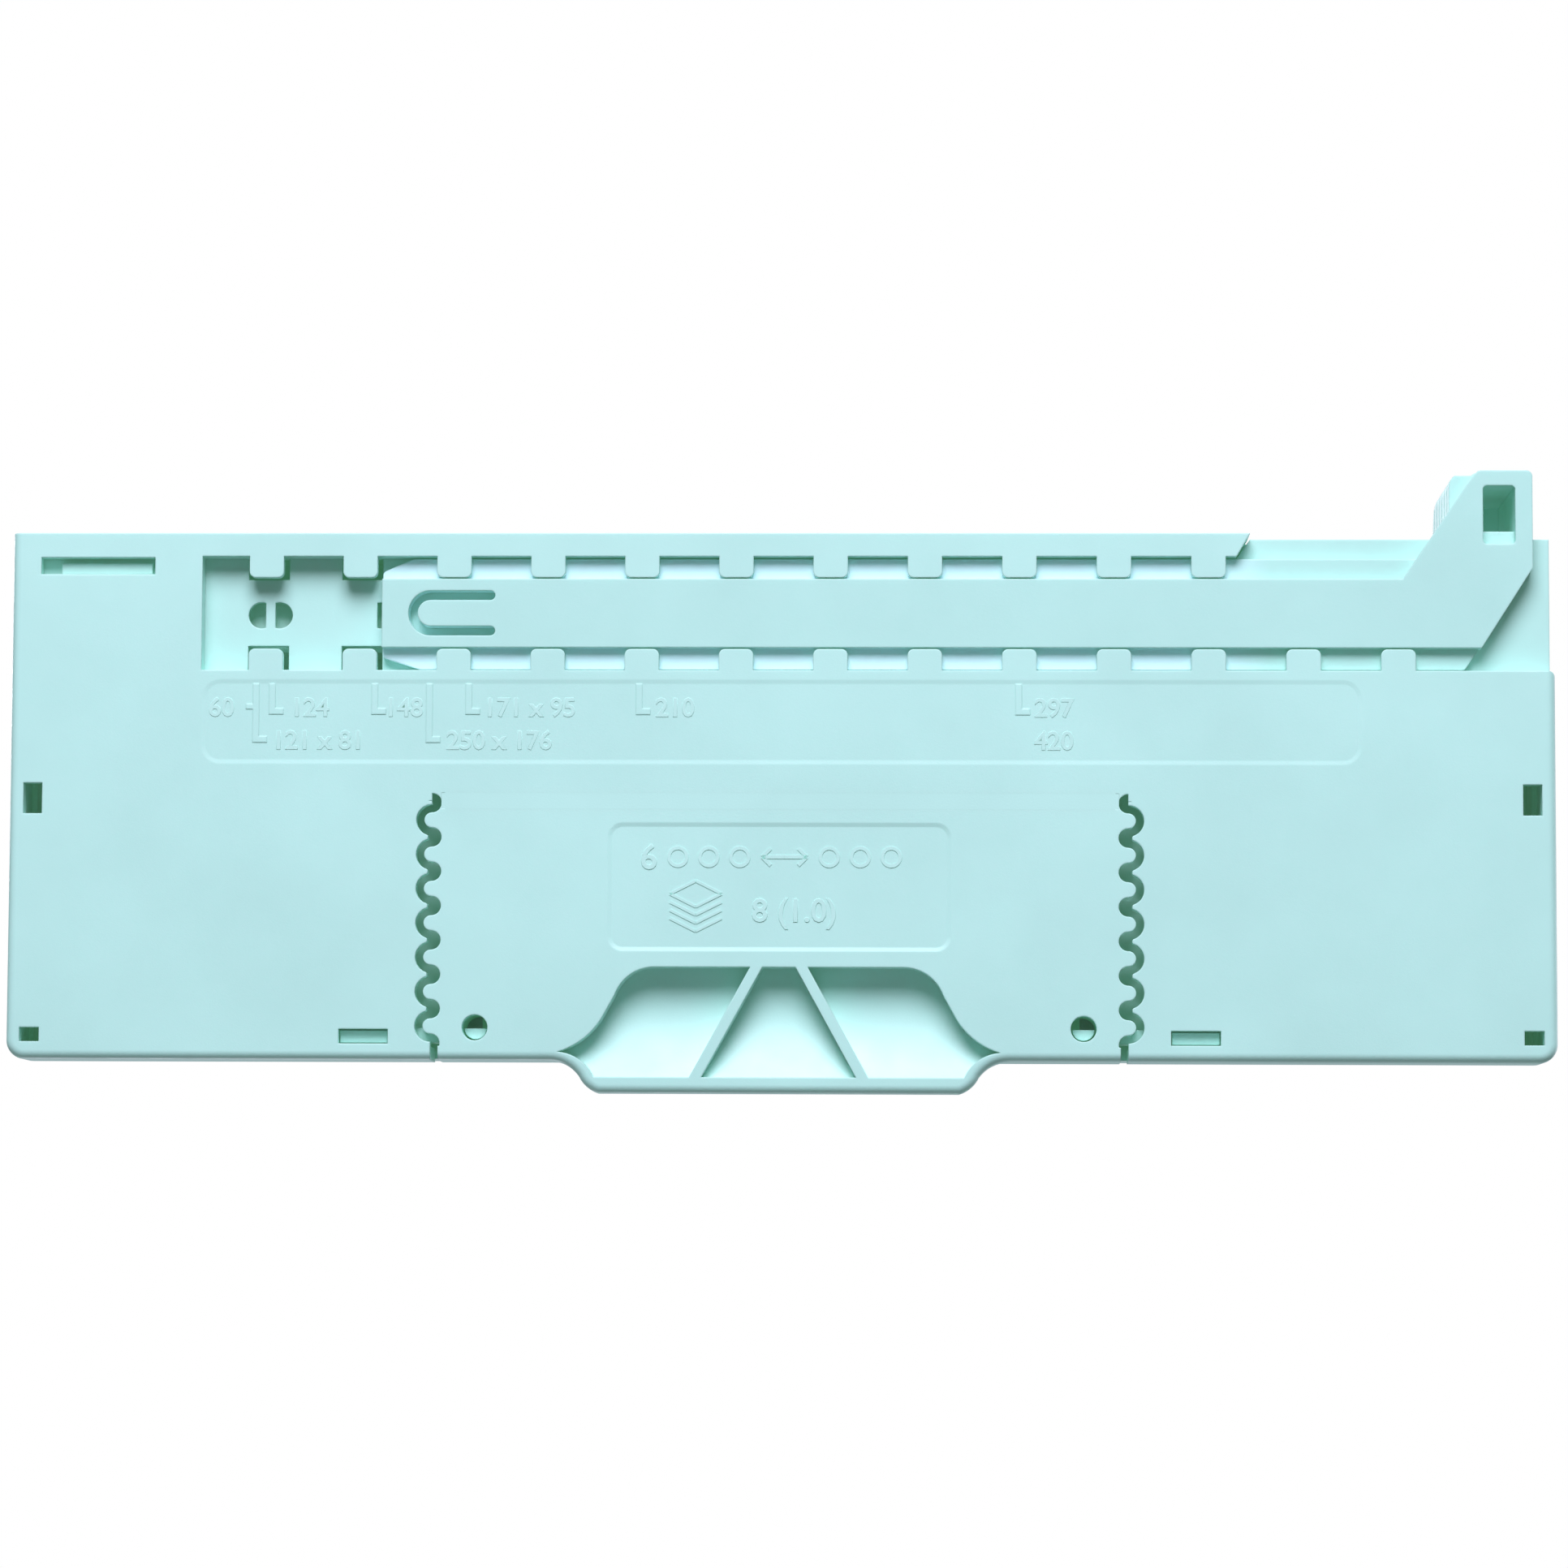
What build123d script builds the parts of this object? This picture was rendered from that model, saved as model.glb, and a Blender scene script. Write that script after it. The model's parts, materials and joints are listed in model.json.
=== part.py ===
from build123d import *
import os
from math import atan2, degrees, radians, sin

# A compact six-hole desktop punch for ring-binder paper, 180 mm wide.
#
# Frame: +Z up, the punch stands on z = 0.  The paper goes in from the front (-Y).  X runs along the
# row of holes, with 0 midway between the third and the fourth hole.  The origin is the middle of the
# bounding box's bottom face.  All sizes are in millimetres.
#
# Build-up, from the table upwards: bottom cover with the paper guide's channel and the chip door, base
# housing, steel chassis with two ears, two carriages of three punches each on a rail rod, and a lever
# that is hinged in the ears and presses all six pins with one round bar.

os.makedirs("parts", exist_ok=True)

# ---------------------------------------------------------------- driving dimensions
HALF_WIDTH = 90.0             # half of the cover's width
COVER_FRONT = -29.0
COVER_BACK = 32.6
REACH = 36.4                  # the guide's stop in front and the door's lip behind both end here

SKIN = 1.8                    # floor of the cover
RIM_ROUND = 1.0
NOTCH_ROUND = 0.8
WALL = 1.6
COVER_TOP = 7.0               # parting line between cover and housing
DECK_TOP = 14.0               # the paper lies here
DECK_THICK = 2.0
INSET = 0.4                   # the housing stands this much inside the cover
REAR_SET = 1.8                # rear cover and end caps stand this much inside the cover's back edge

# Paper guide and its channel in the cover's underside
CHANNEL_LEFT = -67.7
CHANNEL_FRONT = -26.3
CHANNEL_BACK = -12.9
CHANNEL_DEPTH = 2.6
CHANNEL_FLOOR = 1.0
CUT_RIGHT = 54.7              # right end of the cover's front strip
CUT_SLANT = 1.6
TAB_PITCH = 11.0
TAB_WIDTH = 4.0
TAB_THICK = 1.2
TAB_REACH = 2.5
FRONT_TABS = 11
BACK_TABS = 13
FIRST_TAB = -60.15
TAB_CORE_CLEAR = 0.4          # the moulding core's slot in the floor is wider than its tab
TAB_CORE_BACK_CLEAR = 0.6

GUIDE_FRONT = CHANNEL_FRONT + 0.2
GUIDE_BACK = CHANNEL_BACK - 0.2
RIB_FRONT = CHANNEL_FRONT + TAB_REACH + 0.15
RIB_BACK = CHANNEL_BACK - TAB_REACH - 0.2
FLANGE_LOW = TAB_THICK + 0.1
GUIDE_TOP = CHANNEL_DEPTH - 0.1
GUIDE_LEFT = -46.6
GUIDE_SLOT_END = -33.9
STOP_FACE = 80.5              # the post's inner wall; the paper's edge touches the ribs on it
STOP_RIGHT = 87.5
STOP_TOP = 24.5
STOP_RIB = 2.5
STOP_ROUND = 1.6              # corner of the stop on its ribbed side
STOP_GROOVE = 0.25
POST_BACK = -29.4
LEDGE_Z = 1.6                 # ledge behind the window in the stop's foot
# Distance of the stop from the middle at each click: about half the sheet's length, or the place of
# a shorter hole pattern on its sheet.
STOP_SETTINGS = [60.2, 62.1, 74.1, 80.5, 85.1, 105.0, 149.2]
CLICK_OFFSET = -40.9 - STOP_FACE
CLICK_RADIUS = 1.55
CLICK_Y = (RIB_FRONT + RIB_BACK) / 2

# Chip door, cut out of the cover by two wavy slots
HINGE_Y = 2.4
HINGE_GAP = 0.05
WAVE_X = 40.85
WAVE_PITCH = 4.0
WAVES = 7
WAVE_FIRST_Y = 2.65
POCKET_RADIUS = 1.13
SCALLOP_RADIUS = 1.83
SLIT_WIDTH = 0.9
GRIP_DEPTH = 3.7              # deepest point of the finger scoop
GRIP_RADIUS = 19.2
GRIP_AXIS_Y = 25.0
GRIP_SKIN = 1.3
LATCH_X = 35.3
LATCH_Y = 28.8
LATCH_HOLE = 1.5
PIN_LOW = 1.6                 # lower end of the half-round pins in the latch holes
FILM_RECESS = 0.2             # the film hinge lies in this groove
STRIP_DEPTH = 0.06            # long label strip in front of the door
PANEL_DEPTH = 0.12            # recessed panel on the door
RECESS_SLOPE = 0.5            # width of both recesses' sloping walls

# Punches
PIN_PITCH = 19.0
WIDE_GAP = 51.0               # between the third and the fourth hole, as the carriages stand
PIN_Y = 2.0
PIN_RADIUS = 2.75
THROAT_BACK = 8.0             # the paper's edge stops here, 6 mm behind the pins
SLOT_TOP = 16.2
JAW_TOP = 22.0
JAW_FRONT = -3.6
DIE_FRONT = -5.6
CARRIAGE_LENGTH = 50.0
CARRIAGE_BACK = 17.0
CARRIAGE_TOP = 26.0
CARRIAGE_X = WIDE_GAP / 2 + PIN_PITCH
CAP_RADIUS = 4.5
CAP_THICK = 2.0
SPRING_RADIUS = 3.4
SPRING_WIRE = 0.35
SPRING_TURNS = 5
RUNNING = 0.05                # clearance of sliding and turning fits

# Chassis, rail and lever
PLATE_LOW = 10.5
PLATE_TOP = 12.0
SCREW_X = (-78.0, -32.0, 32.0, 78.0)
SCREW_Y = 26.4
EAR_INNER = 84.0
EAR_OUTER = 85.5
EAR_ROUND = 3.4
RAIL_Y = 13.5
RAIL_Z = 20.0
RAIL_RADIUS = 2.5
HINGE_PIN_Y = 23.5
HINGE_PIN_Z = 33.6
HINGE_PIN_RADIUS = 2.0
BAR_RADIUS = 3.0
LEVER_ARM = HINGE_PIN_Y - PIN_Y
LEVER_RISE = 6.7              # degrees above level when up, and below level when pressed
LEVER_HALF = 89.0
HANDLE_BACK = 29.0
HANDLE_WALL = 1.6
HANDLE_TOP = 45.0
HANDLE_FRONT = -28.6          # in its level position the handle just clears the stop's post
FRAME_FRONT = -22.0
FRAME_BACK = 26.4
FRAME_OUTER = 83.2
FRAME_SHEET = 1.2
FRAME_TOP = 38.0

LEVER_SCREW_X = (-64.0, -22.0, 22.0, 64.0)
LEVER_SCREW_Y = (-14.0, 17.0)

CAP_TOP = HINGE_PIN_Z + LEVER_ARM * sin(radians(LEVER_RISE)) - BAR_RADIUS - RUNNING
PIN_HEAD_Z = CAP_TOP - CAP_THICK
PIN_TIP_Z = SLOT_TOP + 0.5


# ---------------------------------------------------------------- helpers
def block(x0, x1, y0, y1, z0, z1):
    return Pos((x0 + x1) / 2, (y0 + y1) / 2, (z0 + z1) / 2) * Box(abs(x1 - x0), abs(y1 - y0), abs(z1 - z0))


def rod(radius, z0, z1, x=0.0, y=0.0):
    """A cylinder along Z."""
    return Pos(x, y, (z0 + z1) / 2) * Cylinder(radius, z1 - z0)


def rod_x(radius, x0, x1, y, z):
    """A cylinder along X."""
    return Pos((x0 + x1) / 2, y, z) * Rot(0, 90, 0) * Cylinder(radius, abs(x1 - x0))


def plan(line, z0, z1):
    """The area inside a closed line in X and Y, raised from z0 to z1."""
    return extrude(Plane.XY.offset(z0) * make_face(line), z1 - z0)


def polygon(points, z0, z1, radius=0.0):
    face = make_face(Polyline(*points, close=True))
    if radius:
        face = fillet(face.vertices(), radius)
    return extrude(Plane.XY.offset(z0) * face, z1 - z0)


def section(points, x0, x1):
    """A closed outline in Y and Z, stretched from x0 to x1."""
    return extrude(Plane.YZ.offset(x0) * make_face(Polyline(*points, close=True)), x1 - x0)


def pad(x0, x1, y0, y1, z0, z1, radius):
    """A plate with rounded corners in plan."""
    face = Pos((x0 + x1) / 2, (y0 + y1) / 2) * RectangleRounded(x1 - x0, y1 - y0, radius)
    return extrude(Plane.XY.offset(z0) * face, z1 - z0)


def soft_recess(x0, x1, y0, y1, depth, radius):
    """A shallow recess in the underside with sloping walls and rounded corners."""
    face = Pos((x0 + x1) / 2, (y0 + y1) / 2) * RectangleRounded(x1 - x0, y1 - y0, radius)
    return extrude(Plane.XY * face, depth, taper=degrees(atan2(RECESS_SLOPE, depth)))


def mirrored(shape):
    return mirror(shape, Plane.YZ)


def both_sides(shape):
    return shape + mirrored(shape)


def tilted(shape):
    """Turns a lever piece from level to the raised place in which the lever rests."""
    hinge = Pos(0, HINGE_PIN_Y, HINGE_PIN_Z)
    return hinge * Rot(-LEVER_RISE, 0, 0) * hinge.inverse() * shape


def save(name, shape):
    solids = shape.solids()
    export_step(solids[0] if len(solids) == 1 else Compound(children=list(solids)), f"parts/{name}.step")


# ---------------------------------------------------------------- bottom cover and chip door
def wave_slot():
    """The left wavy slot as a flat face: round pockets in the door's edge, scallops in the cover's."""
    knob_radius = WAVE_PITCH / 2 - POCKET_RADIUS
    middle = -WAVE_X + POCKET_RADIUS * 0.32
    cusp_x = middle - 0.46
    door_side = Pos(middle + 2, 15) * Rectangle(4, 40)
    cover_side = Pos(middle - 2, 15) * Rectangle(4, 40)
    slot = Sketch()
    for k in range(WAVES):
        y = WAVE_FIRST_Y + k * WAVE_PITCH
        slot += (Pos(middle, y) * Circle(POCKET_RADIUS)) & door_side
        scallop = Pos(middle, y + WAVE_PITCH / 2) * Circle(SCALLOP_RADIUS)
        scallop -= Pos(middle, y + WAVE_PITCH / 2) * Circle(knob_radius)
        slot += scallop & cover_side
        if k:
            slot += Pos(middle - 0.23, y) * Rectangle(0.46, 2 * POCKET_RADIUS)
    cusps = [v for v in slot.vertices() if abs(v.X - cusp_x) < 0.02 and v.Y > WAVE_FIRST_Y + 1]
    slot = fillet(cusps, 0.19)
    last_y = WAVE_FIRST_Y + WAVES * WAVE_PITCH
    turn = (Pos(middle, last_y) * Circle(POCKET_RADIUS)) & door_side
    slot += turn & (Pos(middle, last_y - 1) * Rectangle(6, 2.6))
    slit_y = last_y - 0.4
    slit = Pos(middle + SLIT_WIDTH / 2, (slit_y + REACH) / 2) * Rectangle(SLIT_WIDTH, REACH - slit_y)
    return slot + slit


def symmetric(arcs):
    """Arcs given by three points each on the right side, and their mirror images on the left."""
    both = []
    for a, b, c in arcs:
        both.append(ThreePointArc(a, b, c))
        both.append(ThreePointArc((-a[0], a[1]), (-b[0], b[1]), (-c[0], c[1])))
    return both


def scoop_outline():
    """The finger scoop in plan: a flat-topped bell with two sharp tips."""
    top, tip_y, low = 21.7, 31.6, 34.5
    flanks = symmetric([
        [(14.6, top), (17.3, 22.6), (19.1, 25.0)],
        [(20.6, 27.7), (22.5, 29.9), (25.7, tip_y)],
        [(25.7, tip_y), (23.1, 32.5), (21.5, low)],
    ])
    straight = [Line((s * 19.1, 25.0), (s * 20.6, 27.7)) for s in (-1, 1)]
    return Wire([Line((-14.6, top), (14.6, top)), Line((21.5, low), (-21.5, low))] + straight + flanks)


def lip_outline():
    """The door's lip in plan, behind the cover's back edge."""
    flanks = symmetric([
        [(26.6, COVER_BACK), (24.5, 33.2), (23.2, 34.4)],
        [(23.2, 34.4), (22.3, 35.6), (20.9, REACH)],
    ])
    inner_y = 21.7 - GRIP_SKIN
    sides = [
        Line((-26.6, inner_y), (26.6, inner_y)),
        Line((26.6, inner_y), (26.6, COVER_BACK)),
        Line((-26.6, inner_y), (-26.6, COVER_BACK)),
        Line((-20.9, REACH), (20.9, REACH)),
    ]
    return Wire(sides + flanks)


def grip_bowl(skin):
    """A round-bottomed trough along X, drawn out by `skin` from the finger scoop's surface."""
    return rod_x(GRIP_RADIUS + skin, -30, 30, GRIP_AXIS_Y, GRIP_DEPTH - GRIP_RADIUS)


def cover_blank():
    outline = [(-HALF_WIDTH, COVER_FRONT), (CUT_RIGHT, COVER_FRONT),
               (CUT_RIGHT - CUT_SLANT, CHANNEL_FRONT), (CUT_RIGHT - CUT_SLANT, CHANNEL_BACK),
               (HALF_WIDTH, CHANNEL_BACK), (HALF_WIDTH, COVER_BACK), (-HALF_WIDTH, COVER_BACK)]
    blank = polygon(outline, 0, COVER_TOP)
    corners = [e for e in blank.edges().filter_by(Axis.Z) if e.center().Y > COVER_BACK - 1]
    blank = fillet(corners, 2.2)
    blank += plan(lip_outline(), 0, COVER_TOP)
    rim = [e for e in blank.edges() if abs(e.center().Z) < 0.01
           and (abs(e.center().X) > HALF_WIDTH - 1 or e.center().Y > COVER_BACK - 0.7)]
    blank = fillet(rim, RIM_ROUND)
    x, y = HALF_WIDTH - NOTCH_ROUND, CHANNEL_BACK + NOTCH_ROUND
    corner = block(x, HALF_WIDTH + 1, CHANNEL_BACK - 1, y, -1, COVER_TOP + 1)
    return blank - (corner - rod(NOTCH_ROUND, -2, COVER_TOP + 2, x, y))


def tabs(count, y_root, y_tip):
    row = []
    for k in range(count):
        x = FIRST_TAB + k * TAB_PITCH
        left, right = x - TAB_WIDTH / 2, x + TAB_WIDTH / 2
        inward = 1 if y_tip > y_root else -1
        row.append(pad(left, right, min(y_root, y_tip), max(y_root, y_tip), 0, TAB_THICK, 0.7))
        row.append(block(left, right, *sorted((y_root - 0.4 * inward, y_root + 0.8 * inward)), 0, TAB_THICK))
    return row


def tab_slots():
    """Slots in the channel's floor, through which the tabs are moulded."""
    slots = []
    for k in range(FRONT_TABS):
        x = FIRST_TAB + k * TAB_PITCH
        half = TAB_WIDTH / 2 + TAB_CORE_CLEAR
        z0, z1 = CHANNEL_DEPTH - 0.1, CHANNEL_DEPTH + CHANNEL_FLOOR + 0.1
        slots.append(block(x - half, x + half, CHANNEL_FRONT, CHANNEL_FRONT + TAB_REACH, z0, z1))
        slots.append(block(x - half, x + half, CHANNEL_BACK - TAB_REACH - TAB_CORE_BACK_CLEAR,
                           CHANNEL_BACK, z0, z1))
    return slots


def click_holes():
    """Half-round holes in the channel's floor, one for each setting of the guide."""
    z0, z1 = CHANNEL_DEPTH - 0.1, CHANNEL_DEPTH + CHANNEL_FLOOR + 0.1
    holes = []
    for setting in STOP_SETTINGS:
        x = setting + CLICK_OFFSET
        first = setting == STOP_SETTINGS[0]
        flat = x + 0.7 if first else x - 0.1
        centre = flat - 0.5 if first else flat + 0.5
        kept = block(flat - 4, flat, CLICK_Y - 2, CLICK_Y + 2, z0, z1) if first \
            else block(flat, flat + 4, CLICK_Y - 2, CLICK_Y + 2, z0, z1)
        holes.append(rod(CLICK_RADIUS, z0, z1, centre, CLICK_Y) & kept)
    return holes


def index_marks():
    """Raised L-shaped marks in the label strip, one for each setting."""
    low, high = 0.0, STRIP_DEPTH + 0.1
    marks = []
    for k, setting in enumerate(STOP_SETTINGS):
        x = setting + CLICK_OFFSET
        end = -4.4 if k in (0, 3) else -7.7
        marks.append(block(x - 0.4, x + 0.35, -11.3, end, low, high))
        marks.append(block(x - 0.4, x + 1.3, end - 0.7, end, low, high))
    first = STOP_SETTINGS[0] + CLICK_OFFSET
    marks.append(block(first - 1.2, first - 0.3, -8.9, -8.3, low, high))
    return marks


def windows():
    """Openings in the cover's floor for its moulded clips."""
    holes = [block(-86.65, -73.25, -26.15, -24.15, -1, SKIN + 1)]
    holes.append(both_sides(block(86.15, 88.35, 0.35, 3.95, -1, SKIN + 1)))
    holes.append(both_sides(block(86.1, 88.4, 28.9, 30.55, -1, SKIN + 1)))
    holes.append(both_sides(block(45.4, 51.15, 29.0, 30.7, -1, SKIN + 1)))
    return holes


def cover_and_door():
    base = cover_blank()
    inner = HALF_WIDTH - WALL
    grip = base & plan(lip_outline(), 0, COVER_TOP) & grip_bowl(GRIP_SKIN)
    base -= block(-30, 30, COVER_BACK, REACH + 1, -1, COVER_TOP + 1)
    base -= block(-inner, inner, CHANNEL_BACK + 1.5, COVER_BACK - WALL, SKIN, COVER_TOP + 1)
    base -= block(-inner, CHANNEL_LEFT - 1.5, COVER_FRONT + WALL, CHANNEL_BACK + 2, SKIN, COVER_TOP + 1)
    base -= block(CHANNEL_LEFT - 2, CUT_RIGHT - CUT_SLANT - 1.5, COVER_FRONT + WALL, CHANNEL_BACK + 2,
                  CHANNEL_DEPTH + CHANNEL_FLOOR, COVER_TOP + 1)
    base -= block(CHANNEL_LEFT, CUT_RIGHT + 1, CHANNEL_FRONT, CHANNEL_BACK, -1, CHANNEL_DEPTH)
    base -= tab_slots()
    base -= click_holes()
    base += tabs(FRONT_TABS, CHANNEL_FRONT, CHANNEL_FRONT + TAB_REACH)
    base += tabs(BACK_TABS, CHANNEL_BACK, CHANNEL_BACK - TAB_REACH)
    base -= windows()
    base -= soft_recess(-67.6, 67.6, -11.8, -1.9, STRIP_DEPTH, 2.2)
    base += index_marks()

    base += grip
    pocket = plan(scoop_outline(), -1, COVER_TOP + 2) & grip_bowl(0)
    rib = polygon([(-2.4, 20), (-1.0, 20), (-9.8, 36), (-11.2, 36)], -1, COVER_TOP + 2)
    base -= pocket - both_sides(rib)

    latch = both_sides(rod(LATCH_HOLE + 1.1, SKIN - 0.2, COVER_TOP, LATCH_X, LATCH_Y))
    base += latch & block(-60, 60, 20, COVER_BACK - WALL + 0.1, 0, COVER_TOP)
    base -= both_sides(rod(LATCH_HOLE, -1, COVER_TOP + 1, LATCH_X, LATCH_Y))
    base -= soft_recess(-20.0, 20.0, 4.9, 19.9, PANEL_DEPTH, 1.8)
    base -= block(-39.4, 39.4, HINGE_Y - 0.9, HINGE_Y + 0.9, -1, FILM_RECESS)

    slot = extrude(Plane.XY.offset(-1) * wave_slot(), COVER_TOP + 2)
    base -= both_sides(slot)
    hinge_cut = block(-WAVE_X, WAVE_X, HINGE_Y, HINGE_Y + HINGE_GAP, -1, SKIN + 1)
    bevel = section([(HINGE_Y, 0.7), (HINGE_Y + 1.4, SKIN + 0.01), (HINGE_Y - 1.4, SKIN + 0.01)],
                    -WAVE_X, WAVE_X)
    base -= hinge_cut + bevel
    solids = base.solids().sort_by(SortBy.VOLUME)
    return solids[-1], solids[-2]


# ---------------------------------------------------------------- base housing
def base_housing():
    side = HALF_WIDTH - INSET
    front, back = COVER_FRONT + INSET, COVER_BACK - INSET
    shell = block(-side, side, front, back, COVER_TOP, DECK_TOP)
    upright = [e for e in shell.edges().filter_by(Axis.Z) if e.center().Y > 0]
    shell = fillet(upright, 1.8)
    top = [e for e in shell.edges().filter_by(Axis.X) if e.center().Z > DECK_TOP - 0.1 and e.center().Y < 0]
    shell = fillet(top, 1.0)
    shell -= block(-side + SKIN, side - SKIN, front + SKIN, back - SKIN, COVER_TOP - 1, DECK_TOP - DECK_THICK)
    ear_side = EAR_OUTER + 0.3
    shell -= block(-ear_side, ear_side, DIE_FRONT - 0.2, back - SKIN, PLATE_TOP - 1, DECK_TOP + 1)

    # The front right corner reaches down to the guide's channel, where the cover is cut away.
    left = CUT_RIGHT - CUT_SLANT + 0.1
    corner = polygon([(left + CUT_SLANT, front), (side, front), (side, CHANNEL_BACK - 0.1),
                      (left, CHANNEL_BACK - 0.1), (left, CHANNEL_FRONT)], CHANNEL_DEPTH, COVER_TOP)
    corner -= block(left + CUT_SLANT + SKIN, side - SKIN, front + SKIN, CHANNEL_BACK - SKIN,
                    CHANNEL_DEPTH + SKIN, COVER_TOP + 1)
    shell += corner

    # Bosses for the chassis screws and ledges that carry the chassis.
    for x in SCREW_X:
        shell += block(x - 3, x + 3, 23.4, back - SKIN + 0.1, COVER_TOP + 0.5, PLATE_LOW)
    for x in (-60.0, 0.0, 60.0):
        shell += block(x - 5, x + 5, front + SKIN - 0.1, -7.0, COVER_TOP + 1.5, PLATE_LOW)
        shell += block(x - 5, x + 5, front + SKIN - 0.1, -10.2, PLATE_LOW - 0.1, DECK_TOP - DECK_THICK + 0.1)
    for x in SCREW_X:
        shell -= rod(1.3, COVER_TOP - 1, PLATE_LOW + 1, x, SCREW_Y)

    # Clips that reach into the cover's slots, and the half-round pins that hold the chip door shut.
    for x in (-48.3, 48.3):
        shell += section([(29.15, 8.0), (29.15, 1.0), (30.55, 1.3), (30.55, 8.0)], x - 2.75, x + 2.75)
    shell += block(-87.2, -72.8, -26.9, -23.4, 2.0, COVER_TOP + 6)
    shell += block(-84.4, -73.75, -25.6, -24.3, 1.2, 2.1)

    # A shelf behind the click holes that the guide leaves open
    shell += block(-64, -44, -21.5, -15.5, 5.2, 6.2)
    shell += block(-64, -44, -16.6, -15.5, 6.1, DECK_TOP - DECK_THICK + 0.1)

    # Ledges behind the wavy slots, which keep the chips away from them
    for side_sign in (-1, 1):
        shell += block(side_sign * 38.2, side_sign * 43.8, 1.0, back - SKIN + 0.1, 4.6, 5.8)
        shell += block(side_sign * 42.6, side_sign * 43.8, 1.0, back - SKIN + 0.1, 5.7, PLATE_LOW)
        shell += block(side_sign * 39.3, side_sign * 43.0, 28.8, 30.5, 2.1, 4.7)
    for x in (-LATCH_X, LATCH_X):
        half_pin = rod(LATCH_HOLE - 0.2, PIN_LOW, PLATE_LOW, x, LATCH_Y)
        half_pin &= block(x - 3, x + 3, LATCH_Y + 0.05, LATCH_Y + 3, PIN_LOW, PLATE_LOW)
        shell += half_pin
        shell += block(x - 2.2, x + 2.2, LATCH_Y + 0.05, back - SKIN + 0.1, COVER_TOP + 0.3, PLATE_LOW)

    # Recess for the scale strip
    shell -= block(-80, 80, -14.0, -8.5, DECK_TOP - 0.3, DECK_TOP + 1)
    return shell


def scale_strip():
    return block(-79.9, 79.9, -13.9, -8.6, DECK_TOP - 0.3, DECK_TOP)


# ---------------------------------------------------------------- chassis, rail, end caps, rear cover
def chassis():
    plate = block(-EAR_OUTER, EAR_OUTER, -10.0, 29.4, PLATE_LOW, PLATE_TOP)
    plate -= pad(-81, 81, -2.2, 6.2, PLATE_LOW - 1, PLATE_TOP + 1, 4.0)
    outline = [(3.0, PLATE_LOW), (3.0, 23.0), (9.0, 25.0), (HINGE_PIN_Y - 3.0, 36.0),
               (HINGE_PIN_Y + EAR_ROUND, HINGE_PIN_Z), (HINGE_PIN_Y + EAR_ROUND, PLATE_LOW)]
    ear = section(outline, EAR_INNER, EAR_OUTER)
    ear = fillet([e for e in ear.edges().filter_by(Axis.X) if 22 < e.center().Z < 30], 1.2)
    ear -= block(EAR_INNER - 1, EAR_OUTER + 1, HINGE_PIN_Y - 3.2, 40, HINGE_PIN_Z, 40)
    ear += rod_x(EAR_ROUND, EAR_INNER, EAR_OUTER, HINGE_PIN_Y, HINGE_PIN_Z)
    ear -= rod_x(HINGE_PIN_RADIUS + 0.02, EAR_INNER - 1, EAR_OUTER + 1, HINGE_PIN_Y, HINGE_PIN_Z)
    ear -= rod_x(RAIL_RADIUS + 0.02, EAR_INNER - 1, EAR_OUTER + 1, RAIL_Y, RAIL_Z)
    body = plate + both_sides(ear)
    for x in SCREW_X:
        body -= rod(1.6, PLATE_LOW - 1, PLATE_TOP + 1, x, SCREW_Y)
    return body


def chassis_screws():
    screws = []
    for x in SCREW_X:
        head = rod(2.75, PLATE_TOP, PLATE_TOP + 1.9, x, SCREW_Y)
        head = fillet(head.edges().sort_by(Axis.Z)[-1:], 0.8)
        cross_low, cross_high = PLATE_TOP + 1.0, PLATE_TOP + 3
        head -= block(x - 1.9, x + 1.9, SCREW_Y - 0.3, SCREW_Y + 0.3, cross_low, cross_high)
        head -= block(x - 0.3, x + 0.3, SCREW_Y - 1.9, SCREW_Y + 1.9, cross_low, cross_high)
        screws.append(head + rod(1.25, COVER_TOP + 0.8, PLATE_TOP + 0.1, x, SCREW_Y))
    return Compound(children=screws)


def rail_rod():
    rail = rod_x(RAIL_RADIUS, -EAR_OUTER - 1.2, EAR_OUTER + 1.2, RAIL_Y, RAIL_Z)
    return chamfer(rail.edges().filter_by(GeomType.CIRCLE), 0.4)


def end_cap():
    """The right cover outside the chassis ear; the left one is its mirror image."""
    inner, outer = EAR_OUTER + 0.2, HALF_WIDTH - INSET
    front, back, top = -3.0, COVER_BACK - REAR_SET, 28.0
    face = make_face(Polyline((front, DECK_TOP), (back, DECK_TOP), (back, top), (6.0, top), (front, 19.0),
                              close=True))
    body = extrude(Plane.YZ.offset(inner) * face, outer - inner)
    slanted = [e for e in body.edges().filter_by(Axis.X) if e.center().Z > DECK_TOP + 1]
    body = fillet(slanted, 2.0)
    rim = body.faces().sort_by(Axis.X)[-1].edges().filter_by(lambda e: e.center().Z > DECK_TOP + 0.1)
    body = fillet(rim, 0.9)
    body -= rod_x(RAIL_RADIUS + 0.2, inner - 1, inner + 1.2, RAIL_Y, RAIL_Z)
    body -= rod_x(2.0, outer - 1.6, outer + 1, 21.0, 21.0)
    body -= rod_x(1.3, inner - 1, outer, 21.0, 21.0)
    return body


def end_cap_screws():
    inner, outer = EAR_OUTER + 0.2, HALF_WIDTH - INSET
    head = rod_x(1.9, outer - 1.5, outer - 0.3, 21.0, 21.0)
    head -= block(outer - 0.8, outer + 1, 19.9, 22.1, 20.75, 21.25)
    head -= block(outer - 0.8, outer + 1, 20.75, 21.25, 19.9, 22.1)
    return both_sides(head + rod_x(1.25, inner, outer - 1.4, 21.0, 21.0))


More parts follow.
